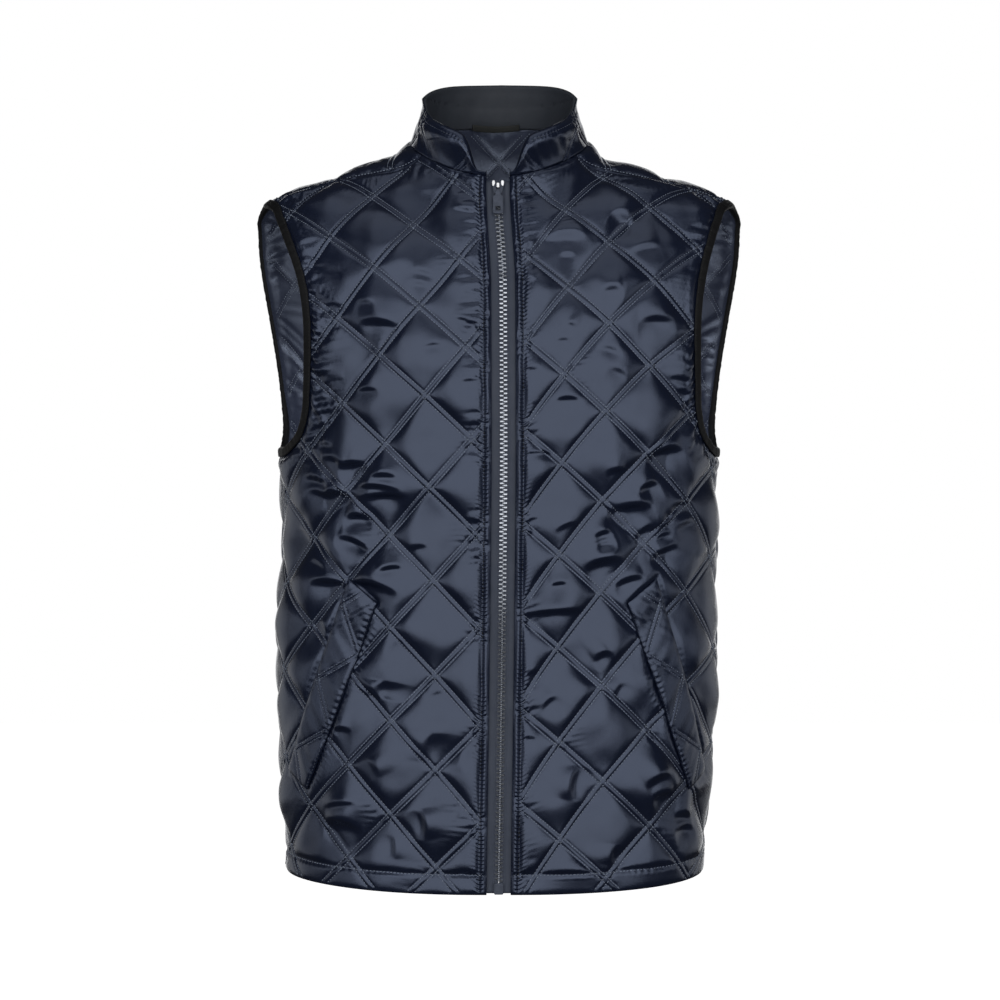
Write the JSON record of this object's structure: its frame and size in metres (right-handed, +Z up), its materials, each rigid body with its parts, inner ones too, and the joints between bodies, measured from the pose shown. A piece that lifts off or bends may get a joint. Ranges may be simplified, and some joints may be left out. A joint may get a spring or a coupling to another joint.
{
  "type": "quilted zip vest",
  "caption": "Sleeveless navy diamond-quilted vest, hollow as if worn, with a stand collar, front zip, slanted welt pockets and black bound armholes.",
  "frame": {"origin": "midway between the two high shoulder points, where the wearer's shoulders carry the vest", "axes": "+Z up, -Y the way the front faces, +X to the wearer's left"},
  "size_m": [0.4888, 0.2705, 0.801],
  "materials": {
    "navy_nylon": "satin navy nylon taffeta, twin-needle quilted in diamonds over wadding",
    "dark_facing": "plain dark woven facing",
    "black_binding": "matt black folded binding tape",
    "navy_zip_tape": "navy woven zip tape",
    "grey_zip_teeth": "grey moulded zip teeth, satin",
    "bright_slider": "bright die-cast metal",
    "dark_pull": "dark painted metal pull and box"
  },
  "bodies": {
    "vest": {"front_left": "navy_nylon", "front_right": "navy_nylon", "back": "navy_nylon", "collar_outer": "navy_nylon", "collar_facing": "dark_facing", "hanger_loop": "black_binding", "armhole_binding_left": "black_binding", "armhole_binding_right": "black_binding", "pocket_welt_left": "navy_nylon", "pocket_welt_right": "navy_nylon", "zip_tape_left": "navy_zip_tape", "zip_tape_right": "navy_zip_tape", "zip_chain": "grey_zip_teeth", "zip_box": "dark_pull", "zip_slider": "bright_slider"},
    "pull": {"zip_pull": "dark_pull"}
  },
  "joints": [
    {"name": "pull_hinge", "type": "hinge", "parent": "vest", "child": "pull", "pos_m": [-0.00096, -0.10029, -0.05206], "axis": [-1, 0, 0], "range_deg": [0, 165]}
  ]
}
